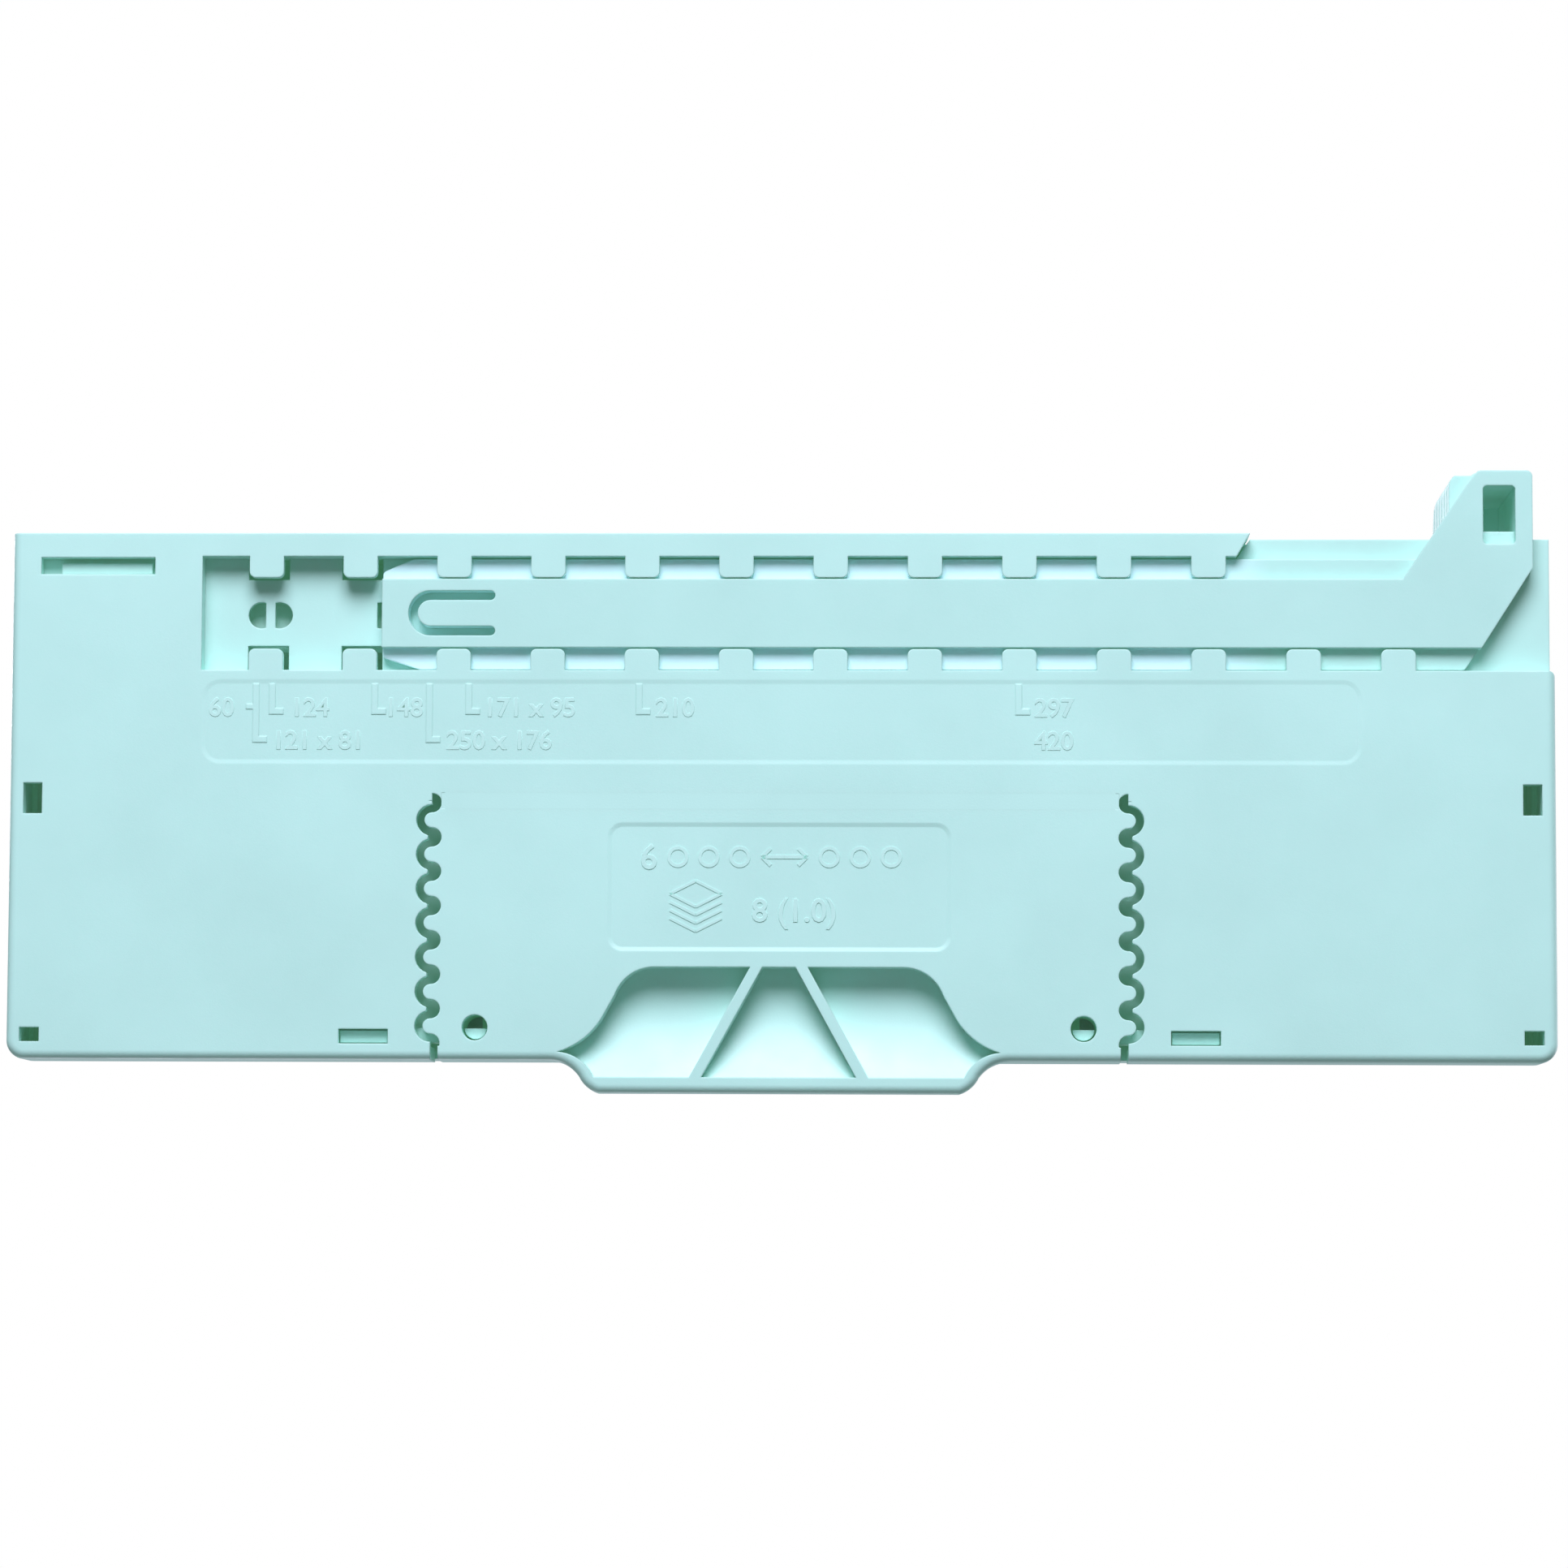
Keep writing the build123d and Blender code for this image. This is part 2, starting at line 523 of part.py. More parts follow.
def rear_cover():
    """The panel behind the carriages, with a roof over their backs."""
    back = COVER_BACK - REAR_SET
    half = EAR_INNER - 0.4
    outline = [(back - SKIN, DECK_TOP), (back, DECK_TOP), (back, 28.0), (18.5, 28.0), (18.5, 26.4),
               (back - SKIN, 26.4)]
    panel = section(outline, -half, half)
    outer = [e for e in panel.edges().filter_by(Axis.X) if e.center().Y > back - 0.1 and e.center().Z > 27.9]
    panel = fillet(outer, 1.5)
    for k in range(-3, 4):
        panel += block(k * 24.0 - 0.6, k * 24.0 + 0.6, 19.5, back - SKIN + 0.1, 24.6, 26.5)
    return panel


# ---------------------------------------------------------------- paper guide
def guide_ruler():
    slant = (72.4, RIB_FRONT)
    head_left = (STOP_FACE - 0.4, -35.0)
    rib_line = [(GUIDE_LEFT, RIB_FRONT), slant, head_left, (81.2, -REACH), (STOP_RIGHT, -REACH),
                (STOP_RIGHT, -25.0), (81.5, RIB_BACK), (GUIDE_LEFT, RIB_BACK)]
    rib = make_face(Polyline(*rib_line, close=True))
    round_here = [v for v in rib.vertices() if v.Y < -36 or (v.X > 87 and v.Y > -26)]
    rib = fillet(round_here, 0.7)
    ruler = extrude(Plane.XY.offset(0.1) * rib, GUIDE_TOP - 0.1)
    flange_line = [(GUIDE_LEFT, RIB_FRONT - 0.9), (GUIDE_LEFT + 3.6, GUIDE_FRONT), (73.7, GUIDE_FRONT),
                   (76.5, -27.0), (82.0, -20.0), (81.5, RIB_BACK - 0.4), (79.6, GUIDE_BACK),
                   (GUIDE_LEFT + 4.4, GUIDE_BACK), (GUIDE_LEFT, RIB_BACK + 1.1)]
    flange = make_face(Polyline(*flange_line, close=True))
    flange = fillet([v for v in flange.vertices() if v.X < GUIDE_LEFT + 0.1 or (v.X > 79 and v.Y > -14)], 0.6)
    ruler += extrude(Plane.XY.offset(FLANGE_LOW) * flange, GUIDE_TOP - FLANGE_LOW)

    # The click tongue, freed by a U-shaped slot, with a half-round bump on its upper side
    outer = pad(-43.5, GUIDE_SLOT_END + 6, CLICK_Y - 2.65, CLICK_Y + 2.65, -1, 4, 2.6)
    outer &= block(-50, GUIDE_SLOT_END, -30, 0, -1, 4)
    tongue = pad(-42.4, GUIDE_SLOT_END + 6, CLICK_Y - 1.52, CLICK_Y + 1.52, -2, 5, 1.5)
    ends = [rod(0.56, -1, 4, GUIDE_SLOT_END, CLICK_Y + s * 2.085) for s in (-1, 1)]
    ruler -= (outer - tongue) + ends[0] + ends[1]
    bump_x = STOP_FACE + CLICK_OFFSET + 0.75
    ruler += rod(0.75, GUIDE_TOP - 0.2, GUIDE_TOP + 0.06, bump_x, CLICK_Y)

    # The stop: a hollow post in front of the housing, ribbed where the paper touches it
    foot = GUIDE_TOP - 0.1
    post_line = [(-REACH, foot), (-REACH, STOP_TOP), (POST_BACK, STOP_TOP), (POST_BACK, foot)]
    side = make_face(Polyline(*post_line, close=True))
    side = fillet(side.vertices().sort_by(Axis.Z)[-2:].sort_by(Axis.Y)[:1], 6.0)
    post = extrude(Plane.YZ.offset(STOP_FACE) * side, STOP_RIGHT - STOP_FACE)
    post = fillet([e for e in post.edges().filter_by(Axis.Z) if e.center().Y < -30], 0.7)
    ruler += post
    front, top = -REACH + 0.3, STOP_TOP - 0.2
    rib_side = make_face(Polyline((front, 2.4), (front, top), (POST_BACK, top), (POST_BACK, 2.4), close=True))
    rib_side = fillet(rib_side.vertices().sort_by(Axis.Z)[-2:].sort_by(Axis.Y)[:1], 5.7)
    crest = STOP_FACE - STOP_RIB
    ribs = extrude(Plane.YZ.offset(crest) * rib_side, STOP_RIB + 0.1)
    for k in range(6):
        z = 4.8 + k * 3.4
        ribs -= block(crest - 1, crest + STOP_GROOVE, -REACH - 1, POST_BACK + 1, z - 0.3, z + 0.3)
    ruler += ribs
    round_x, round_y = crest + STOP_ROUND, STOP_ROUND - REACH
    corner = block(crest - 1, round_x, -REACH - 1, round_y, foot, STOP_TOP + 1)
    ruler -= corner - rod(STOP_ROUND, GUIDE_TOP - 1, STOP_TOP + 2, round_x, round_y)
    ruler -= pad(81.75, 85.5, -34.65, -27.75, -1, LEDGE_Z, 0.5)
    ruler -= block(81.75, 85.5, -34.65, POST_BACK, LEDGE_Z - 0.1, STOP_TOP - 5.0)
    return ruler


# ---------------------------------------------------------------- carriages and punches
def carriage(x):
    half = CARRIAGE_LENGTH / 2
    outline = [(THROAT_BACK, PLATE_TOP + RUNNING), (CARRIAGE_BACK, PLATE_TOP + RUNNING),
               (CARRIAGE_BACK, CARRIAGE_TOP - 2.0), (CARRIAGE_BACK - 2.0, CARRIAGE_TOP),
               (9.5, CARRIAGE_TOP), (9.5, JAW_TOP), (JAW_FRONT, JAW_TOP), (JAW_FRONT, SLOT_TOP + 1.3),
               (JAW_FRONT + 2.2, SLOT_TOP), (THROAT_BACK, SLOT_TOP)]
    body = section(outline, x - half, x + half)
    body -= rod_x(RAIL_RADIUS + RUNNING, x - half - 1, x + half + 1, RAIL_Y, RAIL_Z)
    for k in (-1, 0, 1):
        body -= rod(PIN_RADIUS + RUNNING, PLATE_LOW, CARRIAGE_TOP, x + k * PIN_PITCH, PIN_Y)
    # Lightening pockets in the top, and cut-outs in the jaw between the pins
    for k in (-1, 1):
        body -= pad(x + k * 12.5 - 8.5, x + k * 12.5 + 8.5, 10.8, 16.0, RAIL_Z + 3.6, CARRIAGE_TOP + 1, 1.5)
        mid = x + k * PIN_PITCH / 2
        body -= rod(3.4, SLOT_TOP + 1.8, JAW_TOP + 1, mid, JAW_FRONT - 0.6)
    body -= block(x - 8, x + 8, 14.5, CARRIAGE_BACK + 1, PLATE_TOP - 1, PLATE_TOP + 1.2)
    return body


def die_plate(x):
    """The steel plate under the paper, with the three die holes."""
    half = CARRIAGE_LENGTH / 2
    plate = block(x - half, x + half, DIE_FRONT, THROAT_BACK, PLATE_TOP + RUNNING, DECK_TOP)
    front = [e for e in plate.edges().filter_by(Axis.X) if e.center().Z > DECK_TOP - 0.1 and e.center().Y < 0]
    plate = chamfer(front, 0.5)
    for k in (-1, 0, 1):
        plate -= rod(PIN_RADIUS + RUNNING, PLATE_LOW, CARRIAGE_TOP, x + k * PIN_PITCH, PIN_Y)
        plate -= rod(PIN_RADIUS + 0.5, PLATE_LOW, PLATE_TOP + 0.8, x + k * PIN_PITCH, PIN_Y)
    return plate


def carriage_grip(x):
    """The plastic finger strip on the carriage's front, with ribs and a pointer for the scale."""
    strip = block(x - 24, x + 24, JAW_FRONT - 1.6, JAW_FRONT, SLOT_TOP + 1.3, JAW_TOP)
    strip = fillet(strip.edges().filter_by(Axis.Y), 1.2)
    for k in range(-4, 5):
        strip += block(x + k * 1.6 - 0.35, x + k * 1.6 + 0.35, JAW_FRONT - 2.2, JAW_FRONT - 1.5,
                       SLOT_TOP + 2.2, JAW_TOP - 0.9)
    return strip


def drag_spring(x):
    """A bowed steel leaf under the carriage's web that keeps it where it is put."""
    low = PLATE_TOP + 0.03
    points = [(x - 7.5, low + 0.75), (x, low), (x + 7.5, low + 0.75)]
    under = ThreePointArc(*points)
    over = ThreePointArc(*[(px, pz + 0.3) for px, pz in points])
    ends = [Line((px, pz), (px, pz + 0.3)) for px, pz in points[::2]]
    face = Plane.XZ.offset(-16.7) * make_face(Wire([under, over] + ends))
    return extrude(face, 2.0)


def punch_pin(x):
    pin = rod(PIN_RADIUS, PIN_TIP_Z, PIN_HEAD_Z, x, PIN_Y)
    pin += rod(1.5, PIN_HEAD_Z - 0.1, PIN_HEAD_Z + 1.2, x, PIN_Y)
    notch = section([(PIN_Y - 4, PIN_TIP_Z - 0.1), (PIN_Y + 4, PIN_TIP_Z - 0.1), (PIN_Y, PIN_TIP_Z + 1.3)],
                    x - 4, x + 4)
    return pin - notch


def pin_cap(x):
    cap = rod(CAP_RADIUS, PIN_HEAD_Z, CAP_TOP, x, PIN_Y)
    cap = fillet(cap.edges().sort_by(Axis.Z)[-1:], 0.8)
    return cap - rod(1.51, PIN_HEAD_Z - 1, PIN_HEAD_Z + 1.21, x, PIN_Y)


def return_spring(x):
    length = PIN_HEAD_Z - JAW_TOP - 2 * SPRING_WIRE - 0.04
    path = Helix(length / SPRING_TURNS, length, SPRING_RADIUS)
    wire = sweep(Plane(path @ 0, z_dir=path % 0) * Circle(SPRING_WIRE), path=path, is_frenet=True)
    return Pos(x, PIN_Y, JAW_TOP + SPRING_WIRE + 0.02) * wire


# ---------------------------------------------------------------- lever
def lever_frame():
    """The steel inner frame: a top plate with two side arms and a turned-down front lip."""
    inner = FRAME_OUTER - FRAME_SHEET
    body = block(-FRAME_OUTER, FRAME_OUTER, FRAME_FRONT, FRAME_BACK - 0.4, FRAME_TOP - FRAME_SHEET,
                 FRAME_TOP)
    body += block(-FRAME_OUTER, FRAME_OUTER, FRAME_FRONT, FRAME_FRONT + FRAME_SHEET, 34.0, FRAME_TOP)
    arm_line = [(FRAME_FRONT, FRAME_TOP), (FRAME_FRONT, 34.0), (-4.0, 33.0), (-2.0, 29.8), (FRAME_BACK, 29.8),
                (FRAME_BACK, FRAME_TOP)]
    arm = section(arm_line, inner, FRAME_OUTER)
    arm = fillet([e for e in arm.edges().filter_by(Axis.X)
                  if e.center().Z < 34.5 or e.center().Y > FRAME_BACK - 0.1], 1.5)
    arm -= rod_x(HINGE_PIN_RADIUS + RUNNING, inner - 1, FRAME_OUTER + 1, HINGE_PIN_Y, HINGE_PIN_Z)
    arm -= rod_x(1.52, inner - 1, FRAME_OUTER + 1, PIN_Y, HINGE_PIN_Z)
    body += both_sides(arm)
    for x in LEVER_SCREW_X:
        for y in LEVER_SCREW_Y:
            body -= rod(1.6, 30, FRAME_TOP + 1, x, y)
    for x in (-43.0, 0.0, 43.0):
        body -= pad(x - 13, x + 13, 7, 21, 30, FRAME_TOP + 1, 3)
    return tilted(body)


def press_bar():
    inner = FRAME_OUTER - FRAME_SHEET
    bar = rod_x(BAR_RADIUS, -inner + 0.05, inner - 0.05, PIN_Y, HINGE_PIN_Z)
    return tilted(bar + rod_x(1.5, -FRAME_OUTER - 0.3, FRAME_OUTER + 0.3, PIN_Y, HINGE_PIN_Z))


def hinge_pin():
    """The right lever pin, riveted in the chassis ear; the left one is its mirror image."""
    pin = rod_x(HINGE_PIN_RADIUS, FRAME_OUTER - 2.6, EAR_OUTER + 0.1, HINGE_PIN_Y, HINGE_PIN_Z)
    head = rod_x(3.4, EAR_OUTER, EAR_OUTER + 1.2, HINGE_PIN_Y, HINGE_PIN_Z)
    head = fillet(head.edges().sort_by(Axis.X)[-1:], 0.7)
    groove = rod_x(3, FRAME_OUTER - 2.0, FRAME_OUTER - 1.4, HINGE_PIN_Y, HINGE_PIN_Z) \
        - rod_x(1.5, FRAME_OUTER - 3, FRAME_OUTER, HINGE_PIN_Y, HINGE_PIN_Z)
    return pin + head - groove


def hinge_clips():
    """The two retaining rings on the inner ends of the lever pins."""
    ring = rod_x(3.0, FRAME_OUTER - 1.95, FRAME_OUTER - 1.45, HINGE_PIN_Y, HINGE_PIN_Z)
    ring -= rod_x(1.52, FRAME_OUTER - 3, FRAME_OUTER, HINGE_PIN_Y, HINGE_PIN_Z)
    ring -= block(FRAME_OUTER - 3, FRAME_OUTER, HINGE_PIN_Y - 1.2, HINGE_PIN_Y + 1.2,
                  HINGE_PIN_Z, HINGE_PIN_Z + 5)
    return both_sides(ring)


def handle_face(shrink):
    """The handle's section in Y and Z, drawn in by `shrink` on its top, front and back."""
    front, back = HANDLE_FRONT + shrink, HANDLE_BACK - shrink
    bottom = 0.0 if shrink <= 0 else -5.0
    line = Wire([
        Line((back, 31.6 + bottom), (back, 42.0 - shrink)),
        ThreePointArc((back, 42.0 - shrink), (0.0, HANDLE_TOP - shrink), (front, 42.4 - shrink)),
        Line((front, 42.4 - shrink), (front, 34.4 + bottom)),
        Line((front, 34.4 + bottom), (back, 31.6 + bottom)),
    ])
    face = make_face(line)
    upper = [v for v in face.vertices() if v.Y > 39]
    return fillet(upper, 4.0 - shrink)


def handle_block(shrink):
    """The handle as a solid block with rounded corners in plan and in front view."""
    half = LEVER_HALF - shrink
    body = extrude(Plane.YZ.offset(-half) * handle_face(shrink), 2 * half)
    body &= pad(-half, half, HANDLE_FRONT + shrink, 60, 0, 80, 9.0 - shrink)
    front_view = Pos(0, 22.5 - shrink) * RectangleRounded(2 * half, 45.0, 6.0 - shrink)
    return body & extrude(Plane.XZ.offset(-60) * front_view, 120)


def lever_cover():
    body = handle_block(0) - handle_block(HANDLE_WALL)
    for x in LEVER_SCREW_X:
        for y in LEVER_SCREW_Y:
            post = rod(3.2, FRAME_TOP, 44.0, x, y) - rod(1.3, FRAME_TOP - 1, FRAME_TOP + 3.4, x, y)
            body += post & handle_block(0.9)
    body -= handle_recess()
    return tilted(body)


def handle_recess(depth=1.2):
    """The pad's place on the handle: the slice just under the top surface."""
    zone = pad(-66, 66, -21.0, -7.0, 38, 50, 5.0)
    shell = extrude(Plane.YZ.offset(-70) * handle_face(0), 140)
    core = extrude(Plane.YZ.offset(-70) * handle_face(depth), 140)
    return (shell - core) & zone


def lever_pad():
    zone = pad(-65.9, 65.9, -20.9, -7.1, 38, 50, 4.9)
    shell = extrude(Plane.YZ.offset(-70) * handle_face(-0.3), 140)
    core = extrude(Plane.YZ.offset(-70) * handle_face(1.2), 140)
    return tilted((shell - core) & zone)


def lever_screws():
    screws = []
    for x in LEVER_SCREW_X:
        for y in LEVER_SCREW_Y:
            low = FRAME_TOP - FRAME_SHEET
            head = rod(2.75, low - 1.8, low, x, y)
            head -= block(x - 1.9, x + 1.9, y - 0.3, y + 0.3, low - 3, low - 1.0)
            head -= block(x - 0.3, x + 0.3, y - 1.9, y + 1.9, low - 3, low - 1.0)
            screws.append(tilted(head + rod(1.25, low - 0.1, FRAME_TOP + 3.0, x, y)))
    return Compound(children=screws)


# ---------------------------------------------------------------- write every node
cover, door = cover_and_door()
save("bottom_cover", cover)
save("chip_door", door)
save("base_housing", base_housing())
save("scale_strip", scale_strip())
save("chassis", chassis())
save("chassis_screws", chassis_screws())
save("rail_rod", rail_rod())
save("right_end_cap", end_cap())
save("left_end_cap", mirrored(end_cap()))
save("end_cap_screws", end_cap_screws())
save("rear_cover", rear_cover())
save("guide_ruler", guide_ruler())

number = 0
for side, centre in (("left", -CARRIAGE_X), ("right", CARRIAGE_X)):
    save(f"{side}_carriage", carriage(centre))
    save(f"{side}_die_plate", die_plate(centre))
    save(f"{side}_carriage_grip", carriage_grip(centre))
    save(f"{side}_drag_spring", drag_spring(centre))
    for k in (-1, 0, 1):
        number += 1
        pin_x = centre + k * PIN_PITCH
        save(f"punch_pin_{number}", punch_pin(pin_x))
        save(f"pin_cap_{number}", pin_cap(pin_x))
        save(f"return_spring_{number}", return_spring(pin_x))

save("right_hinge_pin", hinge_pin())
save("left_hinge_pin", mirrored(hinge_pin()))
save("hinge_clips", hinge_clips())
save("lever_frame", lever_frame())
save("press_bar", press_bar())
save("lever_cover", lever_cover())
save("lever_pad", lever_pad())
save("lever_screws", lever_screws())
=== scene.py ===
"""Looks, light and camera for the compact six-hole binder punch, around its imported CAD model."""
import json
import math

import bpy
from mathutils import Matrix, Vector


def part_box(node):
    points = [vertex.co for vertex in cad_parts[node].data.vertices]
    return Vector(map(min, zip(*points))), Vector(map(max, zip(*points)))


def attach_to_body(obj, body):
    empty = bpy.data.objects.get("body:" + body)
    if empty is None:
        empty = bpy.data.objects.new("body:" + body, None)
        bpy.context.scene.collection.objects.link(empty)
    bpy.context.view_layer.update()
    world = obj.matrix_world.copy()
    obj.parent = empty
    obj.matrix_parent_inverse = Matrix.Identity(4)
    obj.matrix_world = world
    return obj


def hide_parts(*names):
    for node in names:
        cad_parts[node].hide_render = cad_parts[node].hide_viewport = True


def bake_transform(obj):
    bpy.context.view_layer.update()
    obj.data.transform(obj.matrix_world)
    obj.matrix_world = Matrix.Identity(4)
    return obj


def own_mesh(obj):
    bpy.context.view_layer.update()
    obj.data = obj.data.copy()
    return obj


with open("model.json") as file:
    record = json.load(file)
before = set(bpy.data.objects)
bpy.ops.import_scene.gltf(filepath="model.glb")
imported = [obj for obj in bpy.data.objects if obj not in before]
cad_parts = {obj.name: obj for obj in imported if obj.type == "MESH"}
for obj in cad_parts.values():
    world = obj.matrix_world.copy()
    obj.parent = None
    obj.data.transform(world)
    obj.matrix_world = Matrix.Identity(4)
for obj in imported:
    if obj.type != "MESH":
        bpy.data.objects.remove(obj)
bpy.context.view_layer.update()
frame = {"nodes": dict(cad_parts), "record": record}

MM = 0.001
NODES = frame["nodes"]
BODY_OF = {n: b for b, members in frame["record"]["behaviour"]["bodies"].items() for n in members}

# ------------------------------------------------------------------ camera
# The punch is seen from straight below with its front up, tipped a little towards its back edge and
# turned a little towards its right end.
FOCAL_LENGTH = 126.26
SENSOR = 36.0
DISTANCE = 0.6395
TIP = 0.0886
TURN = 0.0309
ROLL = 0.00145
AIM = Vector((0.51, 0.40, 0)) * MM

# ------------------------------------------------------------------ relief on the underside
STRIP_MID = 0.06 * MM         # middle of the raised digits' thickness, on the label strip
STRIP_RELIEF = 0.05 * MM
PANEL_MID = 0.13 * MM         # the same on the title panel, whose recess is deeper
PANEL_RELIEF = 0.12 * MM
STROKE_TOP = 0.21 * MM        # root of the pictogram's strokes on the panel
STROKE_RELIEF = 0.16 * MM
DIGIT_BEVEL = 0.03 * MM

# ------------------------------------------------------------------ film hinge of the chip door
JOINTS = {j["name"]: j for j in frame["record"]["behaviour"]["joints"]}
HINGE_Y = JOINTS["chip_door_hinge"]["pos_m"][1]
FILM_HALF = 39.4 * MM         # half its length along X
FILM_REACH = 0.9 * MM         # how far it laps past the hinge line, on each side
FILM_THICKNESS = 0.17 * MM
SHARP_HALF = 39.0 * MM        # the zone along the hinge where edges aren't rounded
SHARP_REACH = 1.4 * MM


# ------------------------------------------------------------------ materials
class Shader:
    """A Principled material with short ways to add and join nodes."""

    def __init__(self, name):
        self.material = bpy.data.materials.new(name)
        self.material.use_nodes = True
        self.tree = self.material.node_tree
        self.principled = self.tree.nodes["Principled BSDF"]
        self.place = self.add("ShaderNodeTexCoord").outputs["Object"]

    def add(self, kind, **settings):
        node = self.tree.nodes.new(kind)
        for key, value in settings.items():
            setattr(node, key, value)
        return node

    def join(self, source, target):
        self.tree.links.new(source, target)

    def fix(self, **values):
        for name, value in values.items():
            self.principled.inputs[name.replace("_", " ")].default_value = value

    def noise(self, scale, detail=2.0, stretch=(1, 1, 1)):
        mapping = self.add("ShaderNodeMapping")
        mapping.inputs["Scale"].default_value = stretch
        self.join(self.place, mapping.inputs["Vector"])
        texture = self.add("ShaderNodeTexNoise")
        texture.inputs["Scale"].default_value = scale
        texture.inputs["Detail"].default_value = detail
        self.join(mapping.outputs["Vector"], texture.inputs["Vector"])
        return texture.outputs["Fac"]

    def blend(self, factor, low, high):
        """A ramp from one colour to another."""
        ramp = self.add("ShaderNodeValToRGB")
        ramp.color_ramp.elements[0].color = (*low, 1)
        ramp.color_ramp.elements[0].position = 0.3
        ramp.color_ramp.elements[1].color = (*high, 1)
        ramp.color_ramp.elements[1].position = 0.7
        self.join(factor, ramp.inputs["Fac"])
        return ramp.outputs["Color"]

    def spread(self, factor, low, high):
        """Maps 0.3..0.7 of a noise onto low..high."""
        node = self.add("ShaderNodeMapRange")
        for name, value in (("From Min", 0.3), ("From Max", 0.7), ("To Min", low), ("To Max", high)):
            node.inputs[name].default_value = value
        self.join(factor, node.inputs["Value"])
        return node.outputs["Result"]

    def off_the_hinge(self, rounding):
        """The edge rounding, but none along the film hinge, which is one smooth skin at rest."""
        parts = self.add("ShaderNodeSeparateXYZ")
        self.join(self.place, parts.inputs["Vector"])
        far = []
        for axis, middle, reach in (("X", 0.0, SHARP_HALF), ("Y", HINGE_Y, SHARP_REACH)):
            shift = self.add("ShaderNodeMath", operation="SUBTRACT")
            shift.inputs[1].default_value = middle
            self.join(parts.outputs[axis], shift.inputs[0])
            size = self.add("ShaderNodeMath", operation="ABSOLUTE")
            self.join(shift.outputs[0], size.inputs[0])
            test = self.add("ShaderNodeMath", operation="GREATER_THAN")
            test.inputs[1].default_value = reach
            self.join(size.outputs[0], test.inputs[0])
            far.append(test.outputs[0])
        either = self.add("ShaderNodeMath", operation="MAXIMUM")
        self.join(far[0], either.inputs[0])
        self.join(far[1], either.inputs[1])
        radius = self.add("ShaderNodeMath", operation="MULTIPLY")
        radius.inputs[1].default_value = rounding
        self.join(either.outputs[0], radius.inputs[0])
        return radius.outputs[0]

    def bump(self, height, distance, strength=1.0, rounding=0.0, hinged=False):
        node = self.add("ShaderNodeBump")
        node.inputs["Distance"].default_value = distance
        node.inputs["Strength"].default_value = strength
        self.join(height, node.inputs["Height"])
        if rounding:
            bevel = self.add("ShaderNodeBevel", samples=4)
            bevel.inputs["Radius"].default_value = rounding
            if hinged:
                self.join(self.off_the_hinge(rounding), bevel.inputs["Radius"])
            self.join(bevel.outputs["Normal"], node.inputs["Normal"])
        self.join(node.outputs["Normal"], self.principled.inputs["Normal"])


MINT = (0.50, 0.80, 0.748)
FLANGE_LOW, FLANGE_HIGH = (0.63, 0.87, 0.93), (0.67, 0.91, 0.97)   # the guide's paler, bluer flanges, partly painted light: made lighter to lift the shade that the tab edges cast on them
COVER_PAINTED_GLOW = (0.40, 1.0, 0.52, 1.0)   # painted glow: a faint emission on the mint parts that lightens their shade, most in slots and recesses
# the same painted glow for the guide, a little bluer
GUIDE_PAINTED_GLOW = (0.35, 1.0, 0.60, 1.0)
EDGE = 0.22 * MM              # edge rounding of moulded pieces
STEEL_EDGE = 0.12 * MM
CLOUD_SCALE = 45


def tinted(colour, factor):
    return tuple(min(1.0, c * factor) for c in colour)


def moulded(s, roughness, rounding, hinged=False, scatter=0.12, painted_glow=0.0, painted_glow_colour=COVER_PAINTED_GLOW):
    """The finish of moulded ABS: a fine eroded texture, walls that let a little light through, and a painted
    glow, an emission that lightens its shade.
    """
    s.join(s.spread(s.noise(260, 2.0), roughness - 0.05, roughness + 0.05), s.principled.inputs["Roughness"])
    s.bump(s.noise(4200, 2.0), 0.012 * MM, 0.5, rounding, hinged)
    # the emission set here is painted light: a glow that lifts the shaded places
    s.fix(IOR=1.5, Specular_IOR_Level=0.42, Subsurface_Weight=scatter, Subsurface_Radius=(0.7, 1.0, 0.9),
          Subsurface_Scale=1.2 * MM, Emission_Color=painted_glow_colour, Emission_Strength=painted_glow)


def plastic(name, colour, roughness=0.42, rounding=EDGE, scatter=0.12, hinged=False, painted_glow=0.0):
    """Moulded ABS with faint flow mottling."""
    s = Shader(name)
    clouds = s.noise(CLOUD_SCALE, 3.0)
    s.join(s.blend(clouds, tinted(colour, 0.965), tinted(colour, 1.035)), s.principled.inputs["Base Color"])
    moulded(s, roughness, rounding, hinged, scatter, painted_glow)
    return s.material


def guide_plastic():
    """The guide's ABS, which is a little whiter and bluer in its thin recessed flanges, partly as painted
    light that lifts their shade.
    """
    s = Shader("guide_abs")
    parts = s.add("ShaderNodeSeparateXYZ")
    s.join(s.place, parts.inputs["Vector"])
    share = s.add("ShaderNodeMath", operation="MULTIPLY")
    # the flange colour ramps in from 0.5 to 1.3 mm deep and as X falls from 57 to 50 mm: partly painted light
    # in that recess
    for k, (axis, low, high) in enumerate((("Z", 0.5, 1.3), ("X", 57.0, 50.0))):
        ramp = s.add("ShaderNodeMapRange")
        ramp.inputs["From Min"].default_value = low * MM
        ramp.inputs["From Max"].default_value = high * MM
        s.join(parts.outputs[axis], ramp.inputs["Value"])
        s.join(ramp.outputs["Result"], share.inputs[k])
    mix = s.add("ShaderNodeMix", data_type="RGBA")
    s.join(share.outputs[0], mix.inputs["Factor"])
    clouds = s.noise(CLOUD_SCALE, 3.0)
    s.join(s.blend(clouds, tinted(MINT, 0.93), tinted(MINT, 0.99)), mix.inputs[6])
    s.join(s.blend(clouds, FLANGE_LOW, FLANGE_HIGH), mix.inputs[7])
    s.join(mix.outputs[2], s.principled.inputs["Base Color"])
    moulded(s, 0.41, EDGE, painted_glow=0.045, painted_glow_colour=GUIDE_PAINTED_GLOW)
    return s.material


